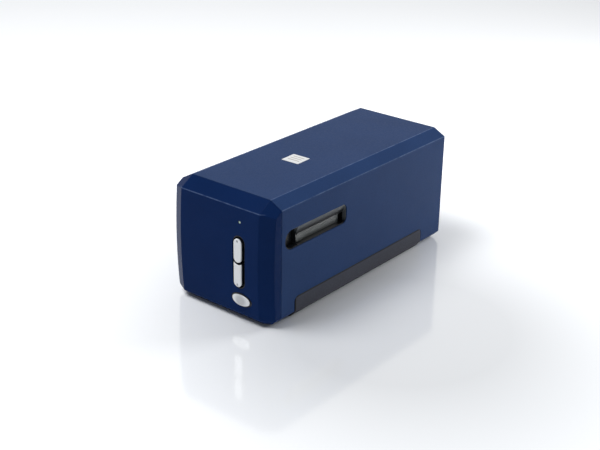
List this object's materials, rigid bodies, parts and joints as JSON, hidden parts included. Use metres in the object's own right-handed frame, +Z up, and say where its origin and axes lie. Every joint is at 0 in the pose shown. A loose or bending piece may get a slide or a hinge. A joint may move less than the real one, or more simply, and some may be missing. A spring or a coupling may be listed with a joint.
{
  "type": "film negative scanner",
  "caption": "Desktop scanner for 35 mm film strips and slides, with side film slots, sprung dust flaps, front buttons and a screw-driven optics carriage inside.",
  "frame": {"origin": "centre of the footprint, on the surface that the scanner stands on", "axes": "+Z up; the front face with the buttons looks along -Y; film goes in along -X, through the slot in the +X side"},
  "size_m": [0.12, 0.2738, 0.1192],
  "materials": {
    "casing_blue": "satin moulded ABS with a fine pearl",
    "bezel_blue": "gloss moulded ABS",
    "silver_key": "satin silver paint on moulded ABS",
    "dark_plastic": "fine matt moulded ABS",
    "slot_grey": "satin moulded ABS",
    "flap_grey": "matt moulded ABS",
    "rail_rubber": "matt moulded rubber",
    "label_paper": "printed paper under clear film",
    "lamp_white": "opal",
    "clear_lens": "clear moulded acrylic",
    "steel": "ground steel",
    "chassis_steel": "zinc plated sheet steel",
    "brass": "machined brass",
    "board_green": "solder-masked glass epoxy board",
    "black_plastic": "matt moulded glass-filled plastic",
    "anodised": "black anodised aluminium",
    "mirror": "front-silvered glass",
    "lens_glass": "coated optical glass",
    "socket_shell": "plated pressed steel",
    "ribbon": "flat plastic cable"
  },
  "bodies": {
    "casing": {"top_cover": "casing_blue", "bottom_tray": "casing_blue", "rear_panel": "casing_blue", "front_bezel": "bezel_blue", "case_screws": "steel", "top_label": "label_paper", "right_rubber_rail": "rail_rubber", "left_rubber_rail": "rail_rubber", "right_slot_frame": "slot_grey", "left_slot_frame": "slot_grey", "right_flap_pin": "steel", "left_flap_pin": "steel", "right_flap_spring": "steel", "left_flap_spring": "steel", "button_surround": "dark_plastic", "power_button_ring": "dark_plastic", "led_lens": "clear_lens", "indicator_led": "lamp_white", "front_button_board": "board_green", "tact_switches": "black_plastic", "film_guide_lower": "black_plastic", "film_guide_upper": "black_plastic", "detent_spring": "steel", "lamp_housing": "black_plastic", "lamp_board": "board_green", "lamp_leds": "lamp_white", "lamp_diffuser": "lamp_white", "optics_chassis": "chassis_steel", "right_guide_rod": "steel", "left_guide_rod": "steel", "rod_clips": "steel", "stepper_motor": "chassis_steel", "screw_bearings": "brass", "home_sensor": "black_plastic", "main_board": "board_green", "board_components": "black_plastic", "usb_socket": "socket_shell", "dc_jack": "black_plastic", "flat_cable": "ribbon", "inner_screws": "steel"},
    "upper_button": {"upper_scan_button": "silver_key", "upper_switch_plunger": "black_plastic"},
    "lower_button": {"lower_scan_button": "silver_key", "lower_switch_plunger": "black_plastic"},
    "power_key": {"power_button": "silver_key", "power_switch_plunger": "black_plastic"},
    "right_flap": {"right_dust_flap": "flap_grey"},
    "left_flap": {"left_dust_flap": "flap_grey"},
    "carriage": {"carriage_body": "black_plastic", "rod_bushes": "brass", "drive_nut": "brass", "fold_mirror": "mirror", "lens_barrel": "anodised", "lens_glass": "lens_glass", "lens_clamp": "chassis_steel", "sensor_board": "board_green", "image_sensor": "black_plastic"},
    "drive_screw": {"lead_screw": "steel", "drive_gear": "brass"},
    "pinion": {"motor_pinion": "brass"}
  },
  "joints": [
    {"name": "upper_button_press", "type": "slide", "parent": "casing", "child": "upper_button", "axis": [0, 1, 0], "range_m": [0, 0.0009], "stiffness_N_per_m": 1500},
    {"name": "lower_button_press", "type": "slide", "parent": "casing", "child": "lower_button", "axis": [0, 1, 0], "range_m": [0, 0.0009], "stiffness_N_per_m": 1500},
    {"name": "power_button_press", "type": "slide", "parent": "casing", "child": "power_key", "axis": [0, 1, 0], "range_m": [0, 0.0009], "stiffness_N_per_m": 1500},
    {"name": "right_flap_swing", "type": "hinge", "parent": "casing", "child": "right_flap", "pos_m": [0.0526, -0.05995, 0.0832], "axis": [0, 1, 0], "range_deg": [0, 85], "stiffness_Nm_per_rad": 0.002, "springref_deg": -5.73, "deforming": ["right_flap_spring"]},
    {"name": "left_flap_swing", "type": "hinge", "parent": "casing", "child": "left_flap", "pos_m": [-0.0526, -0.05995, 0.0832], "axis": [0, 1, 0], "range_deg": [0, 72], "stiffness_Nm_per_rad": 0.002, "springref_deg": -5.73, "deforming": ["left_flap_spring"]},
    {"name": "drive_screw_spin", "type": "hinge", "parent": "casing", "child": "drive_screw", "pos_m": [-0.044, 0, 0.05], "axis": [0, 1, 0], "range_deg": [0, 1800]},
    {"name": "carriage_slide", "type": "slide", "parent": "casing", "child": "carriage", "axis": [0, 1, 0], "range_m": [0, 0.0299], "deforming": ["flat_cable"]},
    {"name": "pinion_spin", "type": "hinge", "parent": "casing", "child": "pinion", "pos_m": [-0.0275, 0, 0.05], "axis": [0, 1, 0], "range_deg": [-4800, 0]}
  ],
  "couplings": [
    {"joint": "drive_screw_spin", "follows": "carriage_slide", "rad_per_m": 1047.2},
    {"joint": "pinion_spin", "follows": "carriage_slide", "rad_per_m": -2792.5}
  ]
}
